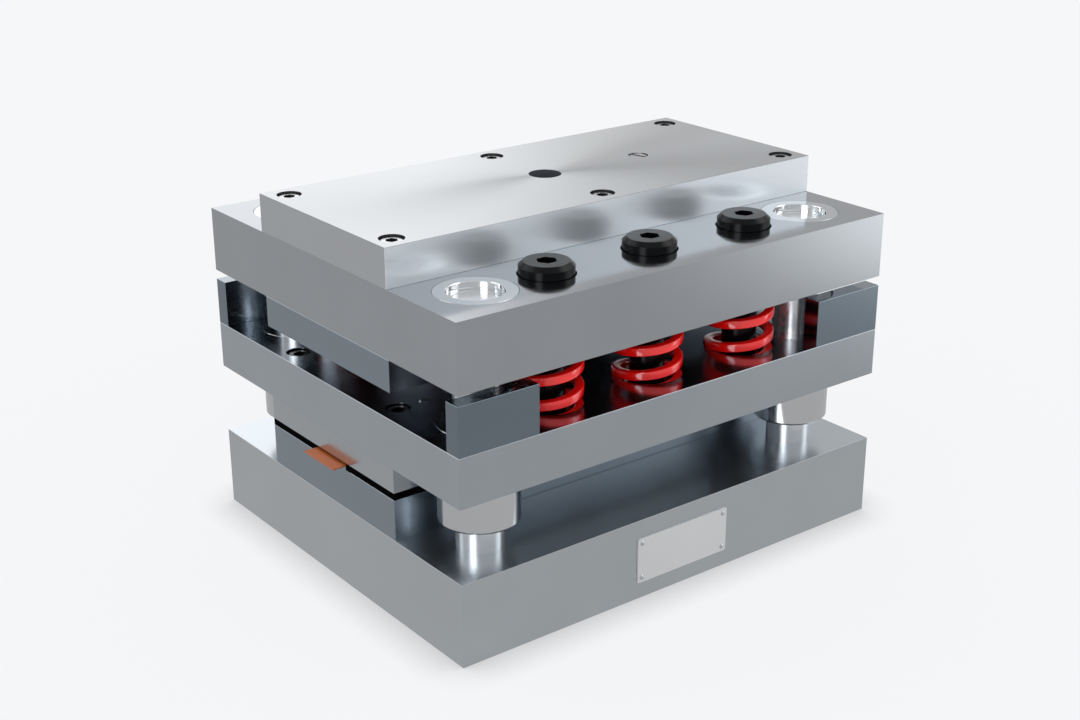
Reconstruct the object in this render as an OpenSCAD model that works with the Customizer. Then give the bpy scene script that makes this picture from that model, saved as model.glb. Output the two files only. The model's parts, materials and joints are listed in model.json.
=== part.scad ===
// Progressive stamping die: a lower die with four guide posts, a sprung stripper and an upper die.
// Millimetres. Origin: centre of the lower shoe's underside. +Z is the press stroke, X the strip feed.

/* [Plates] */
// Length of all plates, along the strip feed
plate_l = 300; // [270:2:420]
// Width of the two shoes and of the stripper plate
shoe_w = 250; // [225:1:320]
// Distance from the shoes' sides to the sides of the top, punch, insert and die plates
tool_margin = 61; // [58:0.5:66]
// Thickness of the lower shoe
lower_shoe_t = 48; // [36:1:60]
// Thickness of the die plate
die_plate_t = 24; // [20:1:34]
// Thickness of the two stock guides
guide_t = 4; // [3.6:0.2:8]
// Thickness of the stripper insert
insert_t = 14; // [12:1:22]
// Thickness of the stripper plate
stripper_t = 28; // [24:1:40]
// Thickness of the upper shoe
upper_shoe_t = 38; // [34:1:50]
// Thickness of the punch plate
punch_plate_t = 18; // [15:1:24]
// Thickness of the top plate
top_plate_t = 22; // [16:1:32]
// Gap between the stripper plate and the upper shoe, springs extended
stripper_gap = 33; // [31:1:42]
// Chamfer on the edges of all plates
edge_chamfer = 0.15; // [0.1:0.05:1.2]

/* [Guides] */
// Diameter of the guide posts
post_d = 26; // [20:1:28]
// Distance from the plates' ends to the posts' axes
post_inset_x = 35; // [30:0.5:36]
// Distance from the shoes' sides to the posts' axes
post_inset_y = 33; // [30:0.5:37]
// Depth of the posts' lower ends inside the lower shoe's underside
post_recess = 2; // [0.5:0.5:8]
// Outside diameter of the guide bushes
bush_d = 44.5; // [38:0.5:46]
// Length of the stripper bushes below the stripper plate
bush_drop = 27; // [16:1:36]
// Diameter of the mouth in the upper bushes' tops
bush_mouth_d = 30; // [29:0.5:34]
// Depth of the mouth, where the posts end
bush_mouth_depth = 4.3; // [2:0.1:10]
// Chamfer on the bushes' and posts' lower ends
bush_chamfer = 1.5; // [0.5:0.1:2.5]
// Chamfer on the bushes' top edges
bush_edge = 0.4; // [0.2:0.1:1]

/* [Springs and shoulder bolts] */
// Distance from the posts' axes to the outer springs' axes, along the plates
spring_offset = 45; // [44:0.5:54]
// Outside diameter of the springs
spring_d = 39.6; // [36:0.2:41]
// Width of the spring wire, across the coil
wire_w = 5; // [4:0.2:7]
// Height of the spring wire
wire_h = 5; // [4:0.2:6]
// Pitch of the active coils
spring_pitch = 14; // [10:0.5:18]
// Turn at which the closed end coil begins
spring_phase = 78; // [0:1:359]
// Depth of the spring pockets in the stripper plate
lower_pocket = 6; // [4:0.5:9]
// Depth of the spring pockets in the upper shoe
upper_pocket = 20; // [12:1:22]
// Diameter of the bolts' shoulders
shoulder_d = 20; // [14:1:22]
// Diameter of the bolt heads
bolt_head_d = 30; // [26:1:34]
// Height of the bolt heads
bolt_head_h = 14; // [12:1:18]
// Height of the bolt heads above the upper shoe
bolt_head_proud = 7; // [4:0.5:8]
// Size across the flats of the bolts' sockets
bolt_hex = 10; // [8:1:12]
// Diameter of the bolts' threads
bolt_thread_d = 16; // [10:1:16]

/* [Stop blocks] */
// Travel left between the stop blocks and the upper shoe
close_travel = 5.5; // [4:0.5:8]
// Length of each stop block
stop_l = 50; // [40:1:60]
// Thickness of each stop block
stop_t = 10.5; // [9.5:0.5:13]

/* [Strip and tooling] */
// Width of the strip
strip_w = 31; // [26:1:36]
// Thickness of the strip
strip_t = 0.7; // [0.5:0.1:1.5]
// Length of strip that stands out at each end
strip_out = 8; // [3:0.2:12]
// Height of the die plate's raised track, which carries the strip
track_h = 2; // [0.6:0.1:2.8]
// Advance of the strip at each stroke
feed_pitch = 23.5; // [22.5:0.5:26]
// Diameter of the washer that the die blanks
blank_d = 20; // [14:0.5:21]
// Diameter of the washer's hole, pierced first and used by the pilots
washer_hole_d = 6; // [4:0.5:8]
// Depth that the punches enter the die plate when closed
punch_entry = 0.8; // [0.4:0.1:1.2]
// Outside diameter of the blanking die insert
blanking_insert_d = 36; // [30:1:40]
// Outside diameter of the piercing die bush
piercing_bush_d = 14; // [12:0.5:18]
// Length of the straight land in the cutting holes
land = 5; // [3:0.5:8]
// Diameter of the bore in the top plate for the press shank
shank_bore_d = 19; // [12:0.5:26]

/* [Screws and dowels] */
// Distance of the plate screws from the plates' ends and sides
screw_inset = 12; // [11:0.5:14]
// Thread size of the cap screws that hold the plates
plate_screw = 8; // [6:1:8]
// Diameter of the counterbores over the cap screws
counterbore_d = 14; // [13.5:0.5:16]
// Depth of the cap screws' heads below the surface
head_recess = 1.1; // [0.3:0.1:2]
// Diameter of the dowel pins in the die and punch plates
dowel_d = 8; // [6:0.5:10]
// Diameter of the dowel pins in the stripper insert
insert_dowel_d = 6; // [5:0.5:8]
// Diameter of the slotted plug in the top plate
plug_d = 12; // [8:1:16]

/* [Nameplate] */
// Length of the blank nameplate
name_l = 66; // [50:1:90]
// Height of the blank nameplate
name_h = 27; // [20:0.5:32]
// Thickness of the blank nameplate
name_t = 0.8; // [0.6:0.1:2]
// Diameter of the rivet heads
rivet_head_d = 3; // [2.4:0.2:4]

/* [Fits] */
// Radial clearance of posts and punches that slide
running_gap = 0.05; // [0.02:0.01:0.1]
// Radial allowance modelled in press fits and threads
press_gap = 0.01; // [0.01:0.01:0.03]
// Radial clearance round shoulders and screw shanks
shank_gap = 0.3; // [0.2:0.05:0.5]
// Radial clearance round the bolt heads
head_gap = 0.8; // [0.4:0.1:1.2]
// Radial clearance of the springs in their pockets
pocket_gap = 0.7; // [0.4:0.1:1]
// Clearance of the strip beside the guides and under the pad
strip_gap = 0.3; // [0.2:0.05:0.5]

/* [Hidden] */
$fn = 96;
eps = 1;

// Width of the top, punch, insert and die plates
tool_w = shoe_w - 2 * tool_margin;

// Heights of the plates' undersides
z_die = lower_shoe_t;
z_guide = z_die + die_plate_t;
z_insert = z_guide + guide_t;
z_stripper = z_insert + insert_t;
z_gap = z_stripper + stripper_t;
z_upper = z_gap + stripper_gap;
z_top = z_upper + upper_shoe_t;
z_end = z_top + top_plate_t;
z_punch = z_upper - punch_plate_t;

// Guide posts
post_x = plate_l / 2 - post_inset_x;
post_y = shoe_w / 2 - post_inset_y;
post_top = z_top - bush_mouth_depth;

// Springs and shoulder bolts stand in line with the posts
spring_spacing = post_x - spring_offset;
spring_seat = z_gap - lower_pocket;
spring_h = stripper_gap + lower_pocket + upper_pocket;
spring_step = 12;
tip_t = 1.2;
end_gap = 0.6;
end_pitch = wire_h + end_gap;
end_rise = tip_t - wire_h / 2 + end_pitch;
active_turn = 360 * (spring_h - 2 * end_rise) / spring_pitch;
spring_turn = 720 + active_turn;
spring_rings = ceil(spring_turn / spring_step);
bolt_seat = z_top + bolt_head_proud - bolt_head_h;
bolt_chamfer = 2.6;
bolt_chamfer_h = 2.4;
bolt_socket_depth = 7;
bolt_thread_l = 20;

// Stations along the strip, all on its centre line and whole pitches apart
pierce_x = -3 * feed_pitch;
entry_x = -2 * feed_pitch;
exit_x = 3 * feed_pitch;
blank_x = 4 * feed_pitch;
strip_half = plate_l / 2 + strip_out;
z_track = z_guide + track_h;
strip_top = z_track + strip_t;
last_x = strip_half - blank_d / 2 - 4;

// Punches and pilots
punch_tip = z_track - punch_entry + close_travel;
pilot_lead = 2.5;
pilot_tip = punch_tip - pilot_lead;
pilot_d = washer_hole_d - 0.1;
pilot_head_d = pilot_d + 4;
punch_head_t = 5;
punch_head_step = 4;
die_clearance = 0.04;
slug_relief = 0.75;
drop_gap = 2;
insert_flange = 2;
insert_flange_t = 4;

// Stripper pad that presses the strip between the guides
pad_inset = 20;
pad_l = plate_l - 2 * pad_inset;
pad_w = strip_w - 1;
pad_z = strip_top + strip_gap;

// Screws and dowels
screw_x = plate_l / 2 - screw_inset;
screw_y = tool_w / 2 - screw_inset;
dowel_step = 16;
dowel_x = screw_x - dowel_step;
die_thread = 18;
insert_thread = 11;
insert_dowel_recess = 2.5;
shoe_thread = 16;
row_of_four = [-1, -1 / 3, 1 / 3, 1];
punch_screw_from_end = 45;
punch_screw_from_side = 16;
punch_screw_x = plate_l / 2 - punch_screw_from_end;
punch_screw_y = tool_w / 2 - punch_screw_from_side;
punch_thread = 14;
punch_dowel_from_end = 25;
punch_dowel_step = 23;
punch_dowel_x = plate_l / 2 - punch_dowel_from_end;
punch_dowel_y = punch_screw_y - punch_dowel_step;
guide_screw = plate_screw / 2;
guide_screw_head = 2 * guide_screw;
guide_screw_hex = 2.5;
guide_screw_from_end = 40;
guide_screw_x = plate_l / 2 - guide_screw_from_end;
guide_screw_y = (strip_w / 2 + strip_gap + tool_w / 2) / 2;
guide_thread = 10;
stop_screw = 4;
stop_screw_offset = 6;
stop_screw_seat = 4.5;
stop_thread = 10;
stop_h = stripper_gap - close_travel;
plug_l = 8;
plug_recess = 0.4;
plug_slot = 1.8;
plug_turn = 105;
spacer_top = z_end - plug_recess - plug_l;

// Nameplate
name_z = 23.5;
rivet_x = name_l / 2 - 3;
rivet_z = name_h / 2 - 3;
rivet_d = 1.6;
rivet_l = 5;
rivet_dome = 0.8;

steel = "silver";
dark_steel = "slategray";
black = [0.12, 0.12, 0.13];

function head_d(d) = 1.5 * d + 1;
function screw_chamfer(d) = d / 8;
function hex_size(d) = lookup(d, [[4, 3], [5, 4], [6, 5], [8, 6]]);

// Outline of a rectangle with its corners cut at 45 degrees
function cut_rect(a, b, c) = [
    [c - a, -b], [a - c, -b], [a, c - b], [a, b - c],
    [a - c, b], [c - a, b], [-a, b - c], [-a, c - b]
];

// Plate with all twelve edges chamfered, standing on z = 0
module plate(l, w, t) {
    intersection() {
        linear_extrude(t)
            polygon(cut_rect(l / 2, w / 2, edge_chamfer));
        translate([0, w / 2, t / 2])
            rotate([90, 0, 0])
                linear_extrude(w)
                    polygon(cut_rect(l / 2, t / 2, edge_chamfer));
        translate([-l / 2, 0, t / 2])
            rotate([90, 0, 90])
                linear_extrude(l)
                    polygon(cut_rect(w / 2, t / 2, edge_chamfer));
    }
}

module hole(d, z0, z1) {
    translate([0, 0, z0])
        cylinder(d = d, h = z1 - z0);
}

module corners(x, y) {
    for (sx = [-1, 1], sy = [-1, 1])
        translate([sx * x, sy * y, 0])
            children();
}

module posts() {
    corners(post_x, post_y)
        children();
}

module springs() {
    for (i = [-1, 0, 1], sy = [-1, 1])
        translate([i * spring_spacing, sy * post_y, 0])
            children();
}

// Six screws along the two long sides of a plate
module side_screws() {
    for (i = [-1, 0, 1], sy = [-1, 1])
        translate([i * screw_x, sy * screw_y, 0])
            children();
}

// Two dowels at opposite corners; side = -1 or 1 picks the diagonal
module dowel_pair(x, y, side) {
    for (s = [-1, 1])
        translate([s * x, s * side * y, 0])
            children();
}

module guide_screws() {
    for (i = row_of_four, sy = [-1, 1])
        translate([i * guide_screw_x, sy * guide_screw_y, 0])
            children();
}

module punch_screws() {
    for (i = row_of_four, sy = [-1, 1])
        translate([i * punch_screw_x, sy * punch_screw_y, 0])
            children();
}

// Socket head cap screw, its head standing on z = 0
module cap_screw(d, l) {
    difference() {
        union() {
            cylinder(d = head_d(d), h = d - screw_chamfer(d));
            translate([0, 0, d - screw_chamfer(d)])
                cylinder(d1 = head_d(d), d2 = head_d(d) - 2 * screw_chamfer(d), h = screw_chamfer(d));
            translate([0, 0, -l])
                cylinder(d = d, h = l + eps);
        }
        translate([0, 0, d / 2])
            cylinder(d = hex_size(d) / cos(30), h = d, $fn = 6);
    }
}

// Socket countersunk screw, its top on z = 0
module countersunk_screw(d, top_d, l) {
    difference() {
        union() {
            translate([0, 0, (d - top_d) / 2])
                cylinder(d1 = d, d2 = top_d, h = (top_d - d) / 2);
            translate([0, 0, -l])
                cylinder(d = d, h = l - (top_d - d) / 4);
        }
        translate([0, 0, -d / 3])
            cylinder(d = guide_screw_hex / cos(30), h = d, $fn = 6);
    }
}

// Dowel pin of diameter d with chamfered ends
module dowel(d, z0, z1) {
    hole(d, z0 + 0.5, z1 - 0.5);
    translate([0, 0, z1 - 0.5])
        cylinder(d1 = d, d2 = d - 1, h = 0.5);
    translate([0, 0, z0])
        cylinder(d1 = d - 1, d2 = d, h = 0.5);
}

module station(x) {
    translate([x, 0, 0])
        children();
}

// Lower die

module lower_shoe() {
    color(steel)
        difference() {
            plate(plate_l, shoe_w, lower_shoe_t);
            posts()
                hole(post_d + 2 * press_gap, -eps, z_die + eps);
            side_screws() {
                hole(plate_screw + 2 * shank_gap, -eps, z_die + eps);
                hole(counterbore_d, -eps, plate_screw + head_recess);
            }
            dowel_pair(dowel_x, screw_y, -1)
                hole(dowel_d + 2 * press_gap, -eps, z_die + eps);
            station(pierce_x)
                hole(washer_hole_d + 2 * drop_gap, -eps, z_die + eps);
            station(blank_x)
                hole(blank_d + 2 * drop_gap, -eps, z_die + eps);
            for (sx = [-1, 1], sz = [-1, 1])
                translate([sx * rivet_x, -shoe_w / 2, name_z + sz * rivet_z])
                    rotate([-90, 0, 0])
                        hole(rivet_d + 2 * press_gap, -eps, rivet_l + 1);
        }
}

module die_plate() {
    color(dark_steel)
        difference() {
            union() {
                translate([0, 0, z_die])
                    plate(plate_l, tool_w, die_plate_t);
                track(plate_l);
            }
            side_screws()
                hole(plate_screw + 2 * press_gap, z_die - eps, z_die + die_thread + 1);
            dowel_pair(dowel_x, screw_y, -1)
                hole(dowel_d + 2 * press_gap, z_die - eps, z_guide + eps);
            guide_screws()
                hole(guide_screw + 2 * press_gap, z_guide - guide_thread - 1, z_guide + eps);
            station(pierce_x)
                insert_seat(piercing_bush_d);
            for (x = [entry_x, exit_x])
                station(x)
                    hole(washer_hole_d + 1, z_die - eps, z_track + eps);
            station(blank_x)
                insert_seat(blanking_insert_d);
        }
}

// Raised track of length l between the stock guides
module track(l) {
    translate([-l / 2, -strip_w / 2, z_guide - eps])
        cube([l, strip_w, track_h + eps]);
}

// Hole that holds a flanged die insert
module insert_seat(d) {
    hole(d + 2 * press_gap, z_die - eps, z_track + eps);
    hole(d + 2 * insert_flange + 2 * press_gap, z_die - eps, z_die + insert_flange_t);
}

// Flanged die insert, cut to the track's width at its top: a land of the cutting size over a wider relief
module die_insert(outer_d, cut_d) {
    difference() {
        union() {
            hole(outer_d, z_die, z_guide);
            hole(outer_d + 2 * insert_flange, z_die, z_die + insert_flange_t);
            intersection() {
                hole(outer_d, z_guide - eps, z_track);
                track(2 * outer_d);
            }
        }
        hole(cut_d + 2 * die_clearance, z_track - land - eps, z_track + eps);
        hole(cut_d + 2 * slug_relief, z_die - eps, z_track - land);
    }
}

module piercing_die_bush() {
    color(steel)
        station(pierce_x)
            die_insert(piercing_bush_d, washer_hole_d);
}

module blanking_die_insert() {
    color(steel)
        station(blank_x)
            die_insert(blanking_insert_d, blank_d);
}

// Stock guide in front (side = -1) or behind (side = 1)
module stock_guide(side) {
    inner = strip_w / 2 + strip_gap;
    guide_w = tool_w / 2 - inner;
    sink = (guide_screw_head - guide_screw) / 2;
    color(black)
        difference() {
            translate([0, side * (inner + guide_w / 2), z_guide])
                plate(plate_l, guide_w, guide_t);
            for (i = row_of_four)
                translate([i * guide_screw_x, side * guide_screw_y, 0]) {
                    hole(guide_screw + 2 * press_gap, z_guide - eps, z_insert);
                    translate([0, 0, z_insert - sink])
                        cylinder(d1 = guide_screw, d2 = guide_screw_head + 2 * eps, h = sink + eps);
                }
        }
}

module stock_guide_screws() {
    color(black)
        guide_screws()
            translate([0, 0, z_insert])
                countersunk_screw(guide_screw, guide_screw_head, guide_t + guide_thread);
}

module guide_post(sx, sy) {
    color(steel)
        translate([sx * post_x, sy * post_y, 0]) {
            hole(post_d, post_recess + bush_chamfer, post_top - bush_chamfer / 2);
            translate([0, 0, post_top - bush_chamfer / 2])
                cylinder(d1 = post_d, d2 = post_d - bush_chamfer, h = bush_chamfer / 2);
            translate([0, 0, post_recess])
                cylinder(d1 = post_d - 2 * bush_chamfer, d2 = post_d, h = bush_chamfer);
        }
}

module die_plate_screws() {
    seat_z = plate_screw + head_recess;
    color(black)
        side_screws()
            translate([0, 0, seat_z])
                rotate([180, 0, 0])
                    cap_screw(plate_screw, z_die - seat_z + die_thread);
}

module die_plate_dowels() {
    color(steel)
        dowel_pair(dowel_x, screw_y, -1)
            dowel(dowel_d, 2, z_guide - 1);
}

module nameplate() {
    color("gainsboro")
        translate([0, -shoe_w / 2 - name_t / 2, name_z])
            rotate([90, 0, 0])
                difference() {
                    translate([0, 0, -name_t / 2])
                        linear_extrude(name_t)
                            polygon(cut_rect(name_l / 2, name_h / 2, 0.8));
                    for (sx = [-1, 1], sz = [-1, 1])
                        translate([sx * rivet_x, sz * rivet_z, 0])
                            hole(rivet_d + 2 * press_gap, -name_t, name_t);
                }
}

module nameplate_rivets() {
    bulge = (pow(rivet_head_d / 2, 2) + pow(rivet_dome, 2)) / (2 * rivet_dome);
    color(steel)
        for (sx = [-1, 1], sz = [-1, 1])
            translate([sx * rivet_x, -shoe_w / 2 - name_t, name_z + sz * rivet_z])
                rotate([90, 0, 0]) {
                    hole(rivet_d, -rivet_l - name_t, 0);
                    intersection() {
                        translate([0, 0, rivet_dome - bulge])
                            sphere(r = bulge);
                        hole(rivet_head_d, 0, rivet_dome);
                    }
                }
}

// Stripper

module stripper_plate() {
    color(steel)
        difference() {
            translate([0, 0, z_stripper])
                plate(plate_l, shoe_w, stripper_t);
            posts()
                hole(bush_d + 2 * press_gap, z_stripper - eps, z_gap + eps);
            springs() {
                hole(spring_d + 2 * pocket_gap, spring_seat, z_gap + eps);
                hole(bolt_thread_d + 2 * press_gap, z_stripper - eps, z_gap);
            }
            side_screws() {
                hole(counterbore_d, z_gap - plate_screw - head_recess, z_gap + eps);
                hole(plate_screw + 2 * shank_gap, z_stripper - eps, z_gap);
            }
            dowel_pair(dowel_x, screw_y, 1)
                hole(insert_dowel_d + 2 * press_gap, z_stripper - eps, z_gap + eps);
            stop_screws() {
                hole(head_d(stop_screw) + 1, z_stripper - eps, z_stripper + stop_screw_seat);
                hole(stop_screw + 2 * shank_gap, z_stripper - eps, z_gap + eps);
            }
            for (x = [pierce_x, entry_x, exit_x])
                station(x)
                    hole(washer_hole_d + 1, z_stripper - eps, z_gap + eps);
            station(blank_x)
                hole(blank_d + 1, z_stripper - eps, z_gap + eps);
        }
}

module stripper_insert() {
    color(steel)
        difference() {
            union() {
                translate([0, 0, z_insert])
                    plate(plate_l, tool_w, insert_t);
                translate([-pad_l / 2, -pad_w / 2, pad_z])
                    cube([pad_l, pad_w, z_insert - pad_z + eps]);
            }
            side_screws()
                hole(plate_screw + 2 * press_gap, z_stripper - insert_thread - 1, z_stripper + eps);
            dowel_pair(dowel_x, screw_y, 1)
                hole(insert_dowel_d + 2 * press_gap, z_insert - eps, z_stripper + eps);
            for (x = [pierce_x, entry_x, exit_x])
                station(x)
                    hole(washer_hole_d + 2 * running_gap, pad_z - eps, z_stripper + eps);
            station(blank_x)
                hole(blank_d + 2 * running_gap, pad_z - eps, z_stripper + eps);
        }
}

module stripper_insert_screws() {
    seat_z = z_gap - plate_screw - head_recess;
    color(black)
        side_screws()
            translate([0, 0, seat_z])
                cap_screw(plate_screw, seat_z - z_stripper + insert_thread);
}

module stripper_insert_dowels() {
    color(steel)
        dowel_pair(dowel_x, screw_y, 1)
            dowel(insert_dowel_d, z_insert + 1, z_gap - insert_dowel_recess);
}

// Guide bush with chamfered ends
module bush(z0, z1) {
    difference() {
        union() {
            hole(bush_d, z0 + bush_chamfer, z1 - bush_edge);
            translate([0, 0, z1 - bush_edge])
                cylinder(d1 = bush_d, d2 = bush_d - 2 * bush_edge, h = bush_edge);
            translate([0, 0, z0])
                cylinder(d1 = bush_d - 2 * bush_chamfer, d2 = bush_d, h = bush_chamfer);
        }
        hole(post_d + 2 * running_gap, z0 - eps, z1 + eps);
        translate([0, 0, z0 - 0.001])
            cylinder(d1 = post_d + 2, d2 = post_d, h = 1);
    }
}

module stripper_bush(sx, sy) {
    color("lightgray")
        translate([sx * post_x, sy * post_y, 0])
            bush(z_stripper - bush_drop, z_gap);
}

module stop_block(sx, sy) {
    color(dark_steel)
        difference() {
            translate([sx * (plate_l - stop_l) / 2, sy * (shoe_w - stop_t) / 2, z_gap])
                plate(stop_l, stop_t, stop_h);
            stop_screws()
                hole(stop_screw + 2 * press_gap, z_gap - eps, z_gap + stop_thread + 1);
        }
}

// Two screws under each stop block
module stop_screws() {
    for (sx = [-1, 1], sy = [-1, 1], k = [stop_screw_offset, stop_l - stop_screw_offset])
        translate([sx * (plate_l / 2 - k), sy * (shoe_w - stop_t) / 2, 0])
            children();
}

module stop_block_screws() {
    seat_z = z_stripper + stop_screw_seat;
    color(black)
        stop_screws()
            translate([0, 0, seat_z])
                rotate([180, 0, 0])
                    cap_screw(stop_screw, z_gap - seat_z + stop_thread);
}

// Shoulder bolt: a turned profile with a hexagon socket
module shoulder_bolt() {
    head_r = bolt_head_d / 2;
    head_top = z_top + bolt_head_proud;
    thread_end = max(spring_seat - bolt_thread_l, z_stripper + 1);
    difference() {
        rotate_extrude()
            polygon([
                [0, thread_end], [bolt_thread_d / 2 - 1, thread_end],
                [bolt_thread_d / 2, thread_end + 1], [bolt_thread_d / 2, spring_seat],
                [shoulder_d / 2, spring_seat], [shoulder_d / 2, bolt_seat],
                [head_r, bolt_seat], [head_r, head_top - bolt_chamfer_h],
                [head_r - bolt_chamfer, head_top], [0, head_top]
            ]);
        translate([0, 0, head_top - bolt_socket_depth])
            cylinder(d = bolt_hex / cos(30), h = bolt_socket_depth + eps, $fn = 6);
    }
}

module shoulder_bolts() {
    color(black)
        springs()
            shoulder_bolt();
}

// Height of the wire's middle after winding by a degrees from the lower tip
function wire_z(a) =
    a < 360 ? tip_t - wire_h / 2 + end_pitch * a / 360
    : a < 360 + active_turn ? end_rise + spring_pitch * (a - 360) / 360
    : spring_h - end_rise + end_pitch * (a - 360 - active_turn) / 360;

// Wire section at winding angle a, cut flat where the end coils are ground
function wire_ring(a) =
    let (t = spring_phase + a,
         ri = spring_d / 2 - wire_w,
         ro = spring_d / 2,
         lo = max(0, wire_z(a) - wire_h / 2),
         hi = min(spring_h, wire_z(a) + wire_h / 2))
    [[ri * cos(t), ri * sin(t), lo], [ro * cos(t), ro * sin(t), lo],
     [ro * cos(t), ro * sin(t), hi], [ri * cos(t), ri * sin(t), hi]];

// Die spring of rectangular wire with closed and ground ends
module die_spring() {
    rings = [for (i = [0:spring_rings]) wire_ring(spring_turn * i / spring_rings)];
    points = [for (r = rings) each r];
    last = 4 * spring_rings;
    sides = [
        for (i = [0:spring_rings - 1], j = [0:3])
            let (a = 4 * i + j, b = 4 * i + (j + 1) % 4)
            each [[a, b, b + 4], [a, b + 4, a + 4]]
    ];
    caps = [[0, 2, 1], [0, 3, 2], [last, last + 1, last + 2], [last, last + 2, last + 3]];
    polyhedron(points, [for (f = concat(sides, caps)) [f[2], f[1], f[0]]], convexity = 10);
}

module die_spring_at(i, sy) {
    color("red")
        translate([i * spring_spacing, sy * post_y, spring_seat])
            die_spring();
}

// Upper die

module upper_shoe() {
    color(steel)
        difference() {
            translate([0, 0, z_upper])
                plate(plate_l, shoe_w, upper_shoe_t);
            posts()
                hole(bush_d + 2 * press_gap, z_upper - eps, z_top + eps);
            springs() {
                hole(spring_d + 2 * pocket_gap, z_upper - eps, z_upper + upper_pocket);
                hole(shoulder_d + 2 * shank_gap, z_upper - eps, z_top + eps);
                hole(bolt_head_d + 2 * head_gap, bolt_seat, z_top + eps);
            }
            side_screws()
                hole(plate_screw + 2 * press_gap, z_top - shoe_thread - 1, z_top + eps);
            punch_screws() {
                hole(plate_screw + 2 * shank_gap, z_upper - eps, z_top);
                hole(counterbore_d, z_top - plate_screw - head_recess, z_top + eps);
            }
            dowel_pair(punch_dowel_x, punch_dowel_y, -1)
                hole(dowel_d + 2 * press_gap, z_upper - eps, z_top + eps);
            station(exit_x)
                hole(pilot_head_d + 2 * shank_gap, z_upper - eps, z_top + eps);
        }
}

module punch_plate() {
    color(dark_steel)
        difference() {
            translate([0, 0, z_punch])
                plate(plate_l, tool_w, punch_plate_t);
            punch_screws()
                hole(plate_screw + 2 * press_gap, z_upper - punch_thread - 1, z_upper + eps);
            dowel_pair(punch_dowel_x, punch_dowel_y, -1)
                hole(dowel_d + 2 * press_gap, z_punch - eps, z_upper + eps);
            station(pierce_x)
                punch_seat(washer_hole_d);
            station(blank_x)
                punch_seat(blank_d);
            for (x = [entry_x, exit_x])
                station(x)
                    punch_seat(pilot_d);
        }
}

// Hole that holds a headed punch
module punch_seat(d) {
    hole(d + 2 * press_gap, z_punch - eps, z_upper + eps);
    hole(d + punch_head_step + 2 * press_gap, z_upper - punch_head_t, z_upper + eps);
}

module punch_plate_screws() {
    seat_z = z_top - plate_screw - head_recess;
    color(black)
        punch_screws()
            translate([0, 0, seat_z])
                cap_screw(plate_screw, seat_z - z_upper + punch_thread);
}

module punch_plate_dowels() {
    color(steel)
        dowel_pair(punch_dowel_x, punch_dowel_y, -1)
            dowel(dowel_d, z_punch + 2, z_top - 2);
}

module top_plate() {
    color(steel)
        difference() {
            translate([0, 0, z_top])
                plate(plate_l, tool_w, top_plate_t);
            hole(shank_bore_d, z_top - eps, z_end + eps);
            side_screws() {
                hole(counterbore_d, z_end - plate_screw - head_recess, z_end + eps);
                hole(plate_screw + 2 * shank_gap, z_top - eps, z_end);
            }
            station(exit_x) {
                hole(pilot_head_d + 2 * shank_gap, z_top - eps, z_end);
                hole(plug_d + 2 * press_gap, spacer_top, z_end + eps);
            }
        }
}

module top_plate_screws() {
    seat_z = z_end - plate_screw - head_recess;
    color(black)
        side_screws()
            translate([0, 0, seat_z])
                cap_screw(plate_screw, seat_z - z_top + shoe_thread);
}

// Slotted screw that holds down the spacer on the exit pilot
module pilot_plug() {
    plug_top = z_end - plug_recess;
    color(steel)
        station(exit_x)
            difference() {
                union() {
                    hole(plug_d, spacer_top, plug_top - 0.5);
                    translate([0, 0, plug_top - 0.5])
                        cylinder(d1 = plug_d, d2 = plug_d - 1, h = 0.5);
                }
                rotate(plug_turn)
                    translate([-plug_d, -plug_slot / 2, plug_top - 2])
                        cube([2 * plug_d, plug_slot, 3]);
            }
}

module pilot_spacer() {
    color(steel)
        station(exit_x)
            hole(pilot_head_d, z_upper, spacer_top);
}

module upper_bush(sx, sy) {
    color("lightgray")
        translate([sx * post_x, sy * post_y, 0])
            difference() {
                bush(z_upper, z_top);
                hole(bush_mouth_d, post_top, z_top + eps);
                translate([0, 0, z_top - bush_edge])
                    cylinder(d1 = bush_mouth_d, d2 = bush_mouth_d + 2 * bush_edge + 0.02, h = bush_edge + 0.01);
            }
}

// Straight punch with a head held in the punch plate
module punch(d, tip_z) {
    hole(d + punch_head_step, z_upper - punch_head_t, z_upper);
    hole(d, tip_z, z_upper - 1);
}

module piercing_punch() {
    color(steel)
        station(pierce_x)
            punch(washer_hole_d, punch_tip);
}

// Blanking punch with a pilot nose that centres on the pierced hole
module blanking_punch() {
    color(steel)
        station(blank_x) {
            punch(blank_d, punch_tip);
            translate([0, 0, pilot_tip])
                bullet(pilot_d / 2, pilot_lead);
        }
}

module pilot_at(x) {
    color(steel)
        station(x) {
            punch(pilot_d, pilot_tip + pilot_d);
            translate([0, 0, pilot_tip])
                bullet(pilot_d / 2, pilot_d);
        }
}

// Bullet nose of radius r and height h, its blunt tip on z = 0
module bullet(r, h) {
    arc = [for (a = [0:10:80]) [r * (0.2 + 0.8 * sin(a)), h * (1 - cos(a))]];
    rotate_extrude()
        polygon(concat([[0, 0]], arc, [[r, h], [0, h]]));
}

// Strip with the holes of the strokes that it has already had
module copper_strip() {
    color([0.72, 0.4, 0.2])
        difference() {
            translate([-strip_half, -strip_w / 2, z_track])
                cube([2 * strip_half, strip_w, strip_t]);
            for (x = [pierce_x:feed_pitch:exit_x + 1])
                station(x)
                    hole(washer_hole_d, z_track - eps, strip_top + eps);
            for (x = [blank_x:feed_pitch:last_x])
                station(x)
                    hole(blank_d, z_track - eps, strip_top + eps);
        }
}

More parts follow.
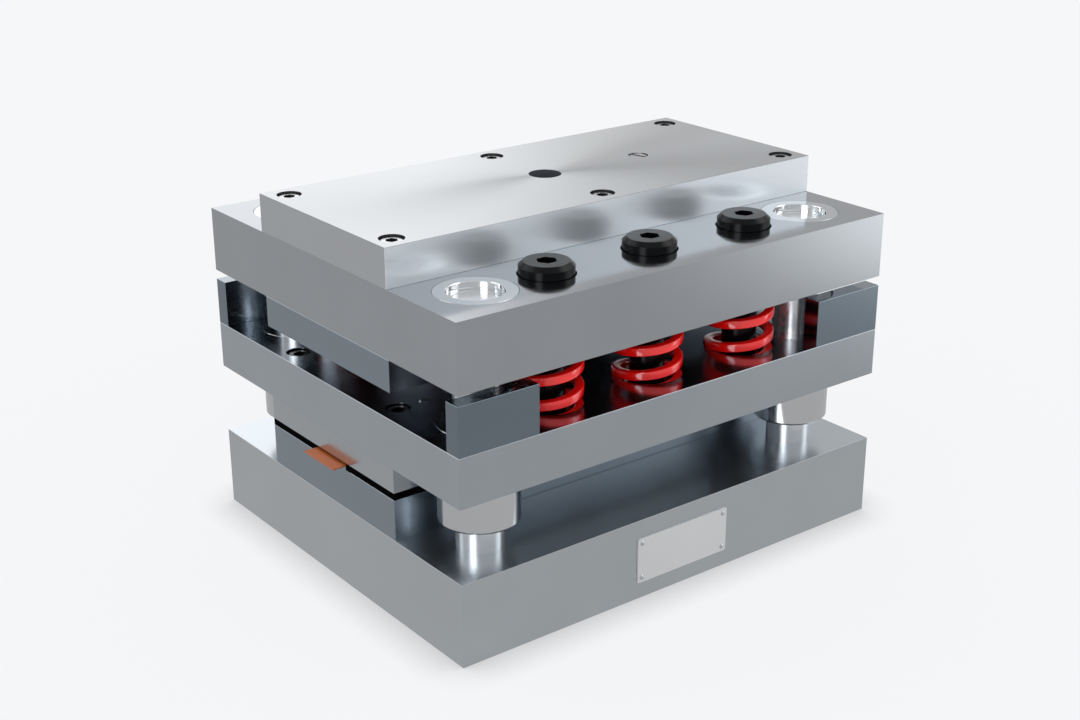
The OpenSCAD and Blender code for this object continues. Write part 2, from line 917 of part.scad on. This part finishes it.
lower_shoe();
die_plate();
piercing_die_bush();
blanking_die_insert();
stock_guide(-1);  // front_stock_guide
stock_guide(1);  // rear_stock_guide
stock_guide_screws();
guide_post(-1, -1);  // guide_post_front_left
guide_post(1, -1);  // guide_post_front_right
guide_post(-1, 1);  // guide_post_rear_left
guide_post(1, 1);  // guide_post_rear_right
die_plate_screws();
die_plate_dowels();
nameplate();
nameplate_rivets();
stripper_plate();
stripper_insert();
stripper_insert_screws();
stripper_insert_dowels();
stripper_bush(-1, -1);  // stripper_bush_front_left
stripper_bush(1, -1);  // stripper_bush_front_right
stripper_bush(-1, 1);  // stripper_bush_rear_left
stripper_bush(1, 1);  // stripper_bush_rear_right
stop_block(-1, -1);  // stop_block_front_left
stop_block(1, -1);  // stop_block_front_right
stop_block(-1, 1);  // stop_block_rear_left
stop_block(1, 1);  // stop_block_rear_right
stop_block_screws();
shoulder_bolts();
die_spring_at(-1, -1);  // die_spring_front_left
die_spring_at(0, -1);  // die_spring_front_middle
die_spring_at(1, -1);  // die_spring_front_right
die_spring_at(-1, 1);  // die_spring_rear_left
die_spring_at(0, 1);  // die_spring_rear_middle
die_spring_at(1, 1);  // die_spring_rear_right
upper_shoe();
punch_plate();
punch_plate_screws();
punch_plate_dowels();
top_plate();
top_plate_screws();
upper_bush(-1, -1);  // upper_bush_front_left
upper_bush(1, -1);  // upper_bush_front_right
upper_bush(-1, 1);  // upper_bush_rear_left
upper_bush(1, 1);  // upper_bush_rear_right
piercing_punch();
blanking_punch();
pilot_at(entry_x);  // entry_pilot
pilot_at(exit_x);  // exit_pilot
pilot_spacer();
pilot_plug();
copper_strip();
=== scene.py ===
import json
import math

import bpy
from mathutils import Matrix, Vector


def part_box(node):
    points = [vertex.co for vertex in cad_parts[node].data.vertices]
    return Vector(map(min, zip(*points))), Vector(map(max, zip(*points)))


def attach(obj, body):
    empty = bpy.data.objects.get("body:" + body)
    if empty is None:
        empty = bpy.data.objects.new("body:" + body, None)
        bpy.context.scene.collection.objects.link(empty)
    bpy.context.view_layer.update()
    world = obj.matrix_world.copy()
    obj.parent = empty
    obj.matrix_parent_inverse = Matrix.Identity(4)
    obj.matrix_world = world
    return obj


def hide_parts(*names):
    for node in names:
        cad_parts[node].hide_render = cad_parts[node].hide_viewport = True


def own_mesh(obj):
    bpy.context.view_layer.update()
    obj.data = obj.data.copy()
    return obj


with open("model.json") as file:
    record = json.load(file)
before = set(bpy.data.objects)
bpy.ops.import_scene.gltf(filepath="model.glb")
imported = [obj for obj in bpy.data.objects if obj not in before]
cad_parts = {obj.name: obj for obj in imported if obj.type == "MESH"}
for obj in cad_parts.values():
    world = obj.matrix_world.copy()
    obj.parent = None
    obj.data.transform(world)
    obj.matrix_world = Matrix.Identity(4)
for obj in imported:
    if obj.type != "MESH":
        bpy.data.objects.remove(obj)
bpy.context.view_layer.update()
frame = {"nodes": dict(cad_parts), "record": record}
nodes = frame["nodes"]
scene = bpy.context.scene
mounts = {mount["name"]: mount for mount in frame["record"]["mounts"]}


def middle(name, axis):
    """The middle of a node along an axis, to the tenth of a millimetre, because round nodes are faceted."""
    low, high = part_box(name)
    return round((low[axis] + high[axis]) / 2, 4)


def node_maker(owner):
    """A shorthand that adds a shader node to a material or world: what feeds its inputs, then its settings.

    The feeds are a list in the order of the inputs, or a dict by their names.
    """
    tree = owner.node_tree

    def add(kind, feeds=(), **settings):
        made = tree.nodes.new("ShaderNode" + kind)
        for key, value in settings.items():
            setattr(made, key, value)
        for slot, feed in feeds.items() if isinstance(feeds, dict) else enumerate(feeds):
            if isinstance(feed, bpy.types.NodeSocket):
                tree.links.new(feed, made.inputs[slot])
            elif feed is not None:
                made.inputs[slot].default_value = feed
        return made

    return add


# Finishes
NOISE_LOW, NOISE_HIGH = 0.3, 0.7    # nearly all values of a noise lie between these
LEAST_ROUGH = 0.02
GRAIN_DEPTH = 0.0002    # of the bump, in metres


def material(name, base, rough, metal=1.0, coat=0.0, coat_rough=0.1, coat_ior=1.5, ior=1.5,
             specular=0.5, mottle=0.05, mottle_scale=18.0, rough_spread=0.06,
             grain=(60.0, 900.0, 900.0), grain_bump=0.04, aniso=0.0, radial=None):
    """A procedural finish: colour mottling, roughness patches and a directional grain in bump."""
    m = bpy.data.materials.new(name)
    m.use_nodes = True
    add = node_maker(m)
    link = m.node_tree.links.new
    shader = m.node_tree.nodes["Principled BSDF"]
    for socket, value in (
        ("Metallic", metal),
        ("Coat Weight", coat),
        ("Coat Roughness", coat_rough),
        ("Coat IOR", coat_ior),
        ("IOR", ior),
        ("Specular IOR Level", specular),
        ("Anisotropic", aniso),
    ):
        shader.inputs[socket].default_value = value
    place = add("TexCoord").outputs["Object"]

    patches = add("TexNoise", {"Vector": place, "Scale": mottle_scale, "Detail": 5.0}).outputs["Fac"]
    tint = add("MapRange", {
        "Value": patches,
        "From Min": NOISE_LOW,
        "From Max": NOISE_HIGH,
        "To Min": 1.0 - mottle,
        "To Max": 1.0 + mottle,
    })
    colour = add("VectorMath", {"Vector": base, "Scale": tint.outputs["Result"]}, operation="SCALE")
    link(colour.outputs["Vector"], shader.inputs["Base Color"])

    stretched = add("Mapping", {"Vector": place, "Scale": grain}).outputs["Vector"]
    lines = add("TexNoise", {"Vector": stretched, "Scale": 1.0, "Detail": 3.0}).outputs["Fac"]
    gloss = add("MapRange", {
        "Value": add("Math", [patches, lines], operation="ADD").outputs["Value"],
        "From Min": 2 * NOISE_LOW,
        "From Max": 2 * NOISE_HIGH,
        "To Min": max(rough - rough_spread, LEAST_ROUGH),
        "To Max": rough + rough_spread,
    })
    link(gloss.outputs["Result"], shader.inputs["Roughness"])

    bump = add("Bump", {"Strength": grain_bump, "Distance": GRAIN_DEPTH, "Height": lines})
    link(bump.outputs["Normal"], shader.inputs["Normal"])
    if radial:
        tangent = add("Tangent", direction_type="RADIAL", axis=radial)
        link(tangent.outputs["Tangent"], shader.inputs["Tangent"])
    return m


FINE = (240.0, 2600.0, 2600.0)    # a fine grain along X


def ground(name, base, rough, mottle=0.02, grain_bump=0.012):
    """Steel from a surface grinder."""
    return material(name, base, rough, grain=FINE, grain_bump=grain_bump, mottle=mottle, rough_spread=0.02)


def screw_steel(name, base):
    """Bright steel with a fine mottle."""
    return material(name, base, 0.24, mottle=0.05, mottle_scale=160.0, grain=(900.0, 900.0, 900.0),
                    grain_bump=0.02)


stripper_steel = ground("ground_steel", (0.44, 0.475, 0.51), 0.16)
top_steel = material("turned_top_plate_steel", (0.53, 0.55, 0.57), 0.25, aniso=0.9, radial="Z",
                     grain=(1600.0, 1600.0, 1600.0), grain_bump=0.006, mottle=0.012, rough_spread=0.01)
upper_steel = ground("upper_shoe_steel", (0.42, 0.445, 0.47), 0.1, grain_bump=0.01)
lower_steel = ground("lower_shoe_steel", (0.52, 0.555, 0.58), 0.16)
dark = ground("hardened_steel", (0.267, 0.311, 0.355), 0.2, mottle=0.03)
punch_steel = ground("punch_plate_steel", (0.267, 0.311, 0.355), 0.2, mottle=0.03)
block = ground("stop_block_steel", (0.195, 0.236, 0.273), 0.16, mottle=0.03)
insert_steel = ground("stripper_insert_steel", (0.45, 0.48, 0.505), 0.2)
bush = material("bush_satin_steel", (0.615, 0.63, 0.645), 0.14, grain=(1800.0, 1800.0, 120.0),
                grain_bump=0.01, mottle=0.015, rough_spread=0.02)
upper_bush_steel = ground("upper_bush_steel", (0.54, 0.56, 0.58), 0.12, grain_bump=0.01)
post = material("hard_chrome", (0.76, 0.78, 0.80), 0.26, metal=0.85, rough_spread=0.02, mottle=0.02,
                grain=(900.0, 900.0, 90.0), grain_bump=0.005)
tool = material("polished_tool_steel", (0.55, 0.57, 0.60), 0.14, mottle=0.03, grain_bump=0.01)
bright_screw = screw_steel("bright_screw_steel", (0.62, 0.63, 0.65))
plug_steel = screw_steel("pilot_plug_steel", (0.50, 0.51, 0.53))
black = material("black_oxide", (0.0025, 0.0028, 0.0035), 0.2, metal=0.0, specular=0.16,
                 mottle=0.2, mottle_scale=220.0, rough_spread=0.03, grain=(1500.0, 1500.0, 1500.0),
                 grain_bump=0.01)
# painted shade: the stock guides near black with their reflections all but taken away, for the shade of the
# gap the strip runs in
stock_guide_shade = material("stock_guide_painted_shade", (0.0012, 0.0012, 0.0014), 0.35, metal=0.0, ior=1.08,
                       specular=0.05, mottle=0.2, mottle_scale=90.0, grain_bump=0.01)
red = material("red_enamel", (1.0, 0.007, 0.005), 0.25, metal=0.0, coat=1.0, coat_rough=0.02,
               coat_ior=1.9, specular=0.0, mottle=0.05, mottle_scale=120.0, rough_spread=0.04,
               grain=(300.0, 300.0, 300.0), grain_bump=0.01)
copper = material("copper_strip", (0.50, 0.125, 0.03), 0.42, metal=0.35, mottle=0.06, mottle_scale=60.0,
                  grain=FINE, grain_bump=0.01, rough_spread=0.03)
plate_metal = material("nameplate_aluminium", (0.595, 0.605, 0.615), 0.4, grain=(40.0, 40.0, 1200.0),
                       metal=0.3, mottle=0.02, grain_bump=0.02)


def blend(m, mask, colour, rough, metal):
    """Gives the material another colour, roughness and metallic where the mask is one; nearly every use
    paints light or shade onto faces and into holes.
    """
    add = node_maker(m)
    shader = m.node_tree.nodes["Principled BSDF"]
    link = m.node_tree.links.new

    def present(name):
        socket = shader.inputs[name]
        return socket.links[0].from_socket if socket.is_linked else socket.default_value

    tone = add("Mix", {"Factor": mask, "A": present("Base Color"), "B": (*colour, 1)}, data_type="RGBA")
    link(tone.outputs["Result"], shader.inputs["Base Color"])
    for name, value in (("Roughness", rough), ("Metallic", metal)):
        before = present(name)
        if before != value:
            change = add("MapRange", {"Value": mask, "To Min": before, "To Max": value})
            link(change.outputs["Result"], shader.inputs[name])


def facing(m, axis, least, most):
    """A mask of one where the surface normal's part along the axis lies between the two values."""
    add = node_maker(m)
    normal = add("SeparateXYZ", [add("NewGeometry").outputs["True Normal"]])
    over = add("Math", [normal.outputs[axis], least], operation="GREATER_THAN")
    under = add("Math", [normal.outputs[axis], most], operation="LESS_THAN")
    return both(m, over.outputs["Value"], under.outputs["Value"])


def near_axis(m, x, y, radius):
    """A mask of one within the radius of the four axes that stand at plus and minus x and y."""
    add = node_maker(m)
    place = add("VectorMath", [add("TexCoord").outputs["Object"]], operation="ABSOLUTE")
    level = add("VectorMath", [place.outputs["Vector"], (1, 1, 0)], operation="MULTIPLY")
    away = add("VectorMath", [level.outputs["Vector"], (x, y, 0)], operation="DISTANCE")
    return add("Math", [away.outputs["Value"], radius], operation="LESS_THAN").outputs["Value"]


def below(m, z):
    """A mask of one under the height."""
    add = node_maker(m)
    place = add("SeparateXYZ", [add("TexCoord").outputs["Object"]])
    return add("Math", [place.outputs["Z"], z], operation="LESS_THAN").outputs["Value"]


def both(m, a, b):
    """A mask of one where both masks are one."""
    return node_maker(m)("Math", [a, b], operation="MULTIPLY").outputs["Value"]


def outside(m, mask):
    """A mask of one where the other is nought."""
    return node_maker(m)("Math", [1.0, mask], operation="SUBTRACT").outputs["Value"]


# Faces told apart by their normal: the axis, and the least and most of the normal along it
UP = ("Z", 0.95, 1.1)
HEAD_TOP = ("Z", 0.9, 1.1)    # of the black bolts and screws
CHAMFER = ("Z", 0.3, 0.95)
UPRIGHT = ("Z", -0.5, 0.5)
UNDER = ("Z", -1.1, -0.95)
FRONT = ("Y", -1.1, -0.5)

# Painted shade: black for the shaded screw sides, sockets, counterbores and the plug's rim and slot, and a
# dark grey that darkens chamfers to hide their highlights
PAINTED_SHADE_BLACK = (0.006, 0.006, 0.007)
PAINTED_EDGE_SHADE = (0.16, 0.165, 0.17)

# Each row: material, faces, colour, roughness, metallic. Of two rows for one face, the later holds. Every
# row but the lower shoe's top paints light or shade onto a face by its facing
FACE_PAINTED_LIGHT_AND_FINISH = (
    # upper shoe: painted shade on its top and chamfers, painted light on its underside for light in the gap
    # below it
    (upper_steel, UP, (0.35, 0.37, 0.395), 0.1, 1.0),
    (upper_steel, UNDER, (0.74, 0.79, 0.84), 0.1, 1.0),
    (upper_steel, CHAMFER, PAINTED_EDGE_SHADE, 0.3, 1.0),
    # painted light: the stop blocks' tops lighter than their sides
    (block, UP, (0.245, 0.28, 0.315), 0.12, 1.0),
    # painted shade on the stripper insert's chamfers, to hide their highlights
    (insert_steel, CHAMFER, (0.16, 0.17, 0.18), 0.3, 1.0),
    # painted shade: the punch plate's front face near black, for the shade between the springs
    (punch_steel, FRONT, (0.09, 0.10, 0.12), 0.25, 1.0),
    # top plate: painted light on its front face, painted shade on its chamfers
    (top_steel, FRONT, (0.765, 0.815, 0.86), 0.25, 0.7),
    (top_steel, CHAMFER, PAINTED_EDGE_SHADE, 0.3, 1.0),
    # painted shade: the stripper plate's top darker than its sides
    (stripper_steel, UP, (0.37, 0.40, 0.44), 0.16, 1.0),
    (lower_steel, UP, (0.52, 0.56, 0.60), 0.22, 0.96),
    # painted shade on the lower shoe's chamfers, to hide their highlights
    (lower_steel, CHAMFER, (0.32, 0.335, 0.35), 0.3, 1.0),
    # painted shade: the bright screws' sides and socket walls black, for the shade in their counterbores
    (bright_screw, UPRIGHT, PAINTED_SHADE_BLACK, 0.4, 0.0),
    # painted light: the black heads' tops lighter than their sides
    (black, HEAD_TOP, (0.012, 0.0135, 0.016), 0.2, 0.0),
)
for m, faces, colour, rough, metal in FACE_PAINTED_LIGHT_AND_FINISH:
    blend(m, facing(m, *faces), colour, rough, metal)

# Holes, told apart by their axes; painted light brightens the bush bores, and painted shade darkens the
# shank bore, counterbores, screw sockets and the plug's rim and slot
BUSH_MOUTH = 0.0156       # radius that takes in the upper bushes' mouths and their chamfers
SHANK_BORE = mounts["shank_bore"]["dims"]["r_mm"] / 1000
BORE_MARGIN = 0.0002      # how far the mask reaches past the bore's wall
SCREW_HEAD = 0.0065       # radius of the top plate's screw heads
SCREW_SINK = 0.0095       # radius that takes in their counterbores
SCREW_SHADE = 0.0018      # depth under the top plate's face below which the screws are painted dark, as shade in their sockets
PLUG_RIM = 0.0013         # width of the painted shade round the rim of the plug
PLUG_SHADE = 0.0005       # depth under the top plate's face below which the plug is painted dark, as shade in its slot

post_x = middle("guide_post_rear_right", 0)
post_y = middle("guide_post_rear_right", 1)
bush_bore = near_axis(upper_bush_steel, post_x, post_y, BUSH_MOUTH)
# partly a polished bore, partly painted light: the bores lighter than the bush
blend(upper_bush_steel, bush_bore, (0.74, 0.75, 0.76), 0.06, 1.0)

# painted shade on the wall of the shank bore
shank_bore = near_axis(top_steel, 0.0, 0.0, SHANK_BORE + BORE_MARGIN)
bore_wall = both(top_steel, shank_bore, facing(top_steel, *UPRIGHT))
blend(top_steel, bore_wall, (0.085, 0.095, 0.108), 0.4, 0.0)

top_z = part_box("top_plate")[1][2]
screws_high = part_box("top_plate_screws")[1]
screw_x = screws_high[0] - SCREW_HEAD
screw_y = screws_high[1] - SCREW_HEAD
# painted shade on the walls of the screws' counterbores
for x in (screw_x, 0.0):
    sink = near_axis(top_steel, x, screw_y, SCREW_SINK)
    blend(top_steel, both(top_steel, sink, facing(top_steel, *UPRIGHT)), PAINTED_SHADE_BLACK, 0.4, 0.0)
# painted shade deep in the screws' sockets
blend(bright_screw, below(bright_screw, top_z - SCREW_SHADE), PAINTED_SHADE_BLACK, 0.4, 0.0)

plug_low, plug_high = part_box("pilot_plug")
plug_radius = (plug_high[0] - plug_low[0]) / 2
# painted shade in the gap round the plug's rim
plug_core = near_axis(plug_steel, plug_low[0] + plug_radius, 0.0, plug_radius - PLUG_RIM)
blend(plug_steel, outside(plug_steel, plug_core), PAINTED_SHADE_BLACK, 0.4, 0.0)
# painted shade in the plug's slot
blend(plug_steel, below(plug_steel, top_z - PLUG_SHADE), PAINTED_SHADE_BLACK, 0.4, 0.0)

FINISH = {
    "lower_shoe": lower_steel,
    "stripper_plate": stripper_steel,
    "upper_shoe": upper_steel,
    "top_plate": top_steel,
    "die_plate": dark,
    "punch_plate": punch_steel,
    "stripper_insert": insert_steel,
    "front_stock_guide": stock_guide_shade,
    "rear_stock_guide": stock_guide_shade,
    "nameplate": plate_metal,
    "copper_strip": copper,
    "shoulder_bolts": black,
    "pilot_plug": plug_steel,
    "top_plate_screws": bright_screw,
}
FAMILY_FINISH = {
    "guide_post": post,
    "upper_bush": upper_bush_steel,
    "stripper_bush": bush,
    "stop_block": block,
    "die_spring": red,
}


def finish_of(name):
    """A node's own finish, else black for screws, else its family's, else polished tool steel."""
    if name in FINISH:
        return FINISH[name]
    if name.endswith("screws"):
        return black
    for family, finish in FAMILY_FINISH.items():
        if name.startswith(family):
            return finish
    return tool


for name, node in nodes.items():
    for slot in node.material_slots:
        slot.material = finish_of(name)


def mesh_object(name, verts, faces, finish, smooth=True):
    data = bpy.data.meshes.new(name)
    data.from_pydata(verts, [], faces)
    data.validate()
    data.materials.append(finish)
    ob = bpy.data.objects.new(name, data)
    scene.collection.objects.link(ob)
    for polygon in data.polygons:
        polygon.use_smooth = smooth
    return ob


# Die springs: rectangular wire with rounded corners, closed ends ground flat
WIRE = 0.005              # side of the wire's section
WIRE_EDGE = 0.0008        # radius of its corners
EDGE_STEPS = 3            # faces round a corner
PITCH = 0.014             # rise of each turn between the closed ends
END_PITCH = 0.0056        # rise of the closed turn at each end
TIP = 0.0012              # what the grinding leaves of the wire at its tips
PHASE = 78.0              # where the winding starts, in degrees from +X towards +Y
TURN = 360
RING_ANGLE = 5            # degrees of winding between two rings of points
SHARP = math.radians(40)  # edges bent further than this are shaded sharp

spring_low, spring_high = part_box("die_spring_front_left")
SEAT = round(spring_low[2], 4)
HEIGHT = round(spring_high[2] - spring_low[2], 4)
SPRING_OUT = round((spring_high[1] - spring_low[1]) / 2, 4)
RISE = TIP - WIRE / 2 + END_PITCH                # height of the wire's middle after the closed turn
ACTIVE = TURN * (HEIGHT - 2 * RISE) / PITCH      # winding between the closed turns
WINDING = 2 * TURN + ACTIVE


def wire_z(angle):
    """The height of the wire's middle over the seat, after this much winding."""
    if angle < TURN:
        return TIP - WIRE / 2 + END_PITCH * angle / TURN
    if angle < TURN + ACTIVE:
        return RISE + PITCH * (angle - TURN) / TURN
    return HEIGHT - RISE + END_PITCH * (angle - TURN - ACTIVE) / TURN


def wire_section():
    """Points round the wire's section, as distances outwards and upwards from its middle."""
    points = []
    half = WIRE / 2 - WIRE_EDGE
    for out, up, start in ((half, -half, 270), (half, half, 0), (-half, half, 90), (-half, -half, 180)):
        for i in range(EDGE_STEPS + 1):
            turn = math.radians(start + 90 * i / EDGE_STEPS)
            points.append((out + WIRE_EDGE * math.cos(turn), up + WIRE_EDGE * math.sin(turn)))
    return points


def die_spring(name, node, x, y):
    """A spring on the axis at x and y, in place of the node."""
    section = wire_section()
    count = len(section)
    rings = int(WINDING / RING_ANGLE)
    verts = []
    for i in range(rings + 1):
        angle = WINDING * i / rings
        around = math.radians(PHASE + angle)
        for out, up in section:
            radius = SPRING_OUT - WIRE / 2 + out
            z = min(max(wire_z(angle) + up, 0.0), HEIGHT)
            verts.append((x + radius * math.cos(around), y + radius * math.sin(around), SEAT + z))
    faces = []
    for i in range(rings):
        for j in range(count):
            a = i * count + j
            b = i * count + (j + 1) % count
            faces.append((a, b, b + count, a + count))
    faces.append(tuple(reversed(range(count))))
    faces.append(tuple(rings * count + j for j in range(count)))
    ob = mesh_object(name, verts, faces, red)
    ob.data.set_sharp_from_angle(angle=SHARP)
    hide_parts(node)
    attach(ob, "stripper")
    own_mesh(ob)


for place in ("front_left", "front_middle", "front_right", "rear_left", "rear_middle", "rear_right"):
    spring_node = "die_spring_" + place
    die_spring("coil_spring_" + place, spring_node, middle(spring_node, 0), middle(spring_node, 1))


# Camera: the photograph's place, lens and directions
EYE = (-0.564740, -0.731682, 0.455563)
RIGHT = (0.79302321, -0.60918435, -0.00293558)
DOWN = (-0.22305003, -0.28587085, -0.93194771)
AHEAD = (0.56688877, 0.73971094, -0.36258081)
SENSOR_WIDTH = 36.0
LENS = 55.055

camera_data = bpy.data.cameras.new("camera")
camera_data.sensor_fit = "HORIZONTAL"
camera_data.sensor_width = SENSOR_WIDTH
camera_data.lens = LENS
camera_data.clip_start = 0.01
camera_data.clip_end = 50.0
camera = bpy.data.objects.new("camera", camera_data)
scene.collection.objects.link(camera)
rows = [(RIGHT[i], -DOWN[i], -AHEAD[i], EYE[i]) for i in range(3)]
camera.matrix_world = Matrix((*rows, (0, 0, 0, 1)))
scene.camera = camera


# Floor: pale paper that glows evenly, with a painted contact shadow where that glow fades near the object;
# only the paper's small diffuse share takes the object's real shadow. Reflections see the studio below the
# horizon instead
PALE = (0.923, 0.930, 0.948, 1)
FLOOR_REACH = 8.0
GLOW_SHARE = 0.88         # how much of the paper's light is its own, which keeps the background even
CONTACT_REACH = 0.027     # how far from the object the glow fades in the painted contact shadow
CONTACT_GLOW = 0.35       # what is left of it where the object touches, at the painted shadow's darkest


def paper_material():
    m = bpy.data.materials.new("floor_paper")
    m.use_nodes = True
    add = node_maker(m)
    paper = m.node_tree.nodes["Principled BSDF"]
    for socket, value in (("Base Color", PALE), ("Roughness", 1.0), ("Specular IOR Level", 0.0)):
        paper.inputs[socket].default_value = value
    # painted contact shadow: the glow fades where ambient occlusion finds the object near
    nearby = add("AmbientOcclusion", {"Distance": CONTACT_REACH}, samples=4)
    painted_shadow_fade = add("MapRange", {"Value": nearby.outputs["AO"], "To Min": CONTACT_GLOW, "To Max": 1.0})
    glow = add("Emission", {"Color": PALE, "Strength": painted_shadow_fade.outputs["Result"]})
    lit = add("MixShader", [GLOW_SHARE, paper.outputs["BSDF"], glow.outputs["Emission"]])
    glossy = add("LightPath").outputs["Is Glossy Ray"]
    clear = add("BsdfTransparent").outputs["BSDF"]
    shown = add("MixShader", [glossy, lit.outputs["Shader"], clear])
    m.node_tree.links.new(shown.outputs["Shader"], m.node_tree.nodes["Material Output"].inputs["Surface"])
    return m


corners = [(x * FLOOR_REACH, y * FLOOR_REACH, 0) for x, y in ((-1, -1), (1, -1), (1, 1), (-1, 1))]
floor = mesh_object("floor", corners, [(0, 1, 2, 3)], paper_material(), smooth=False)


# Studio: an even white dome, in whose place reflections see a greyer one with soft boxes in it
DOME = 0.55               # level of the greyer dome below the horizon
SKY_EXTRA = 0.10          # what it gains above
HORIZON = (-4.0, 8.0)     # elevations between which it gains that
TO_DEGREES = math.degrees(1)

# Each lamp: azimuth from +X towards +Y, half its width and the soft edge at its sides, lowest and
# highest elevation and the soft edge at them, all in degrees, then its level
LAMPS = (
    (100.0, 46.0, 4.0, 4.0, 58.0, 4.0, 0.95),       # wide, behind the object and to the left
    (201.5, 12.0, 3.0, 9.0, 60.0, 5.0, 4.5),        # narrow and strong, at the front left
    (-25.0, 12.0, 8.0, 8.0, 60.0, 7.0, 1.4),        # at the right
    (-42.0, 10.0, 7.0, 8.0, 22.0, 3.0, 1.3),        # at the right, just above the horizon
    (-37.0, 6.0, 7.0, -18.0, 8.0, 2.5, 1.4),        # at the right, from below it to just above
    (5.0, 28.0, 8.0, 30.0, 80.0, 8.0, 0.9),         # high, at the right and behind
)


def light_studio():
    world = bpy.data.worlds.new("studio")
    scene.world = world
    world.use_nodes = True
    add = node_maker(world)

    def calculate(operation, *values):
        return add("Math", values, operation=operation).outputs["Value"]

    def climb(value, start, end):
        """Rises smoothly from nought at the start to one at the end."""
        return add("MapRange", [value, start, end], interpolation_type="SMOOTHSTEP").outputs["Result"]

    direction = add("TexCoord").outputs["Generated"]
    sine = add("SeparateXYZ", [direction]).outputs["Z"]
    elevation = calculate("MULTIPLY", calculate("ARCSINE", sine), TO_DEGREES)

    def soft_box(azimuth, half, soft, low, high, soft_ends, level):
        angle = -math.radians(azimuth)
        turned = add("VectorRotate", {"Vector": direction, "Angle": angle}, rotation_type="Z_AXIS")
        part = add("SeparateXYZ", [turned.outputs["Vector"]]).outputs
        away = calculate("ABSOLUTE", calculate("ARCTAN2", part["Y"], part["X"]))
        side = climb(calculate("MULTIPLY", away, TO_DEGREES), half + soft, half - soft)
        bottom = climb(elevation, low - soft_ends, low + soft_ends)
        top = climb(elevation, high + soft_ends, high - soft_ends)
        shape = calculate("MULTIPLY", side, calculate("MULTIPLY", bottom, top))
        return calculate("MULTIPLY", shape, level)

    reflected = calculate("ADD", calculate("MULTIPLY", climb(elevation, *HORIZON), SKY_EXTRA), DOME)
    for lamp in LAMPS:
        reflected = calculate("ADD", reflected, soft_box(*lamp))

    paths = add("LightPath").outputs
    around = add("Mix", {"Factor": paths["Is Glossy Ray"], "A": (1, 1, 1, 1), "B": reflected},
                 data_type="RGBA")
    seen = add("Mix", {"Factor": paths["Is Camera Ray"], "A": around.outputs["Result"], "B": PALE},
               data_type="RGBA")
    background = world.node_tree.nodes["Background"]
    world.node_tree.links.new(seen.outputs["Result"], background.inputs["Color"])


light_studio()

scene.view_settings.view_transform = "Standard"
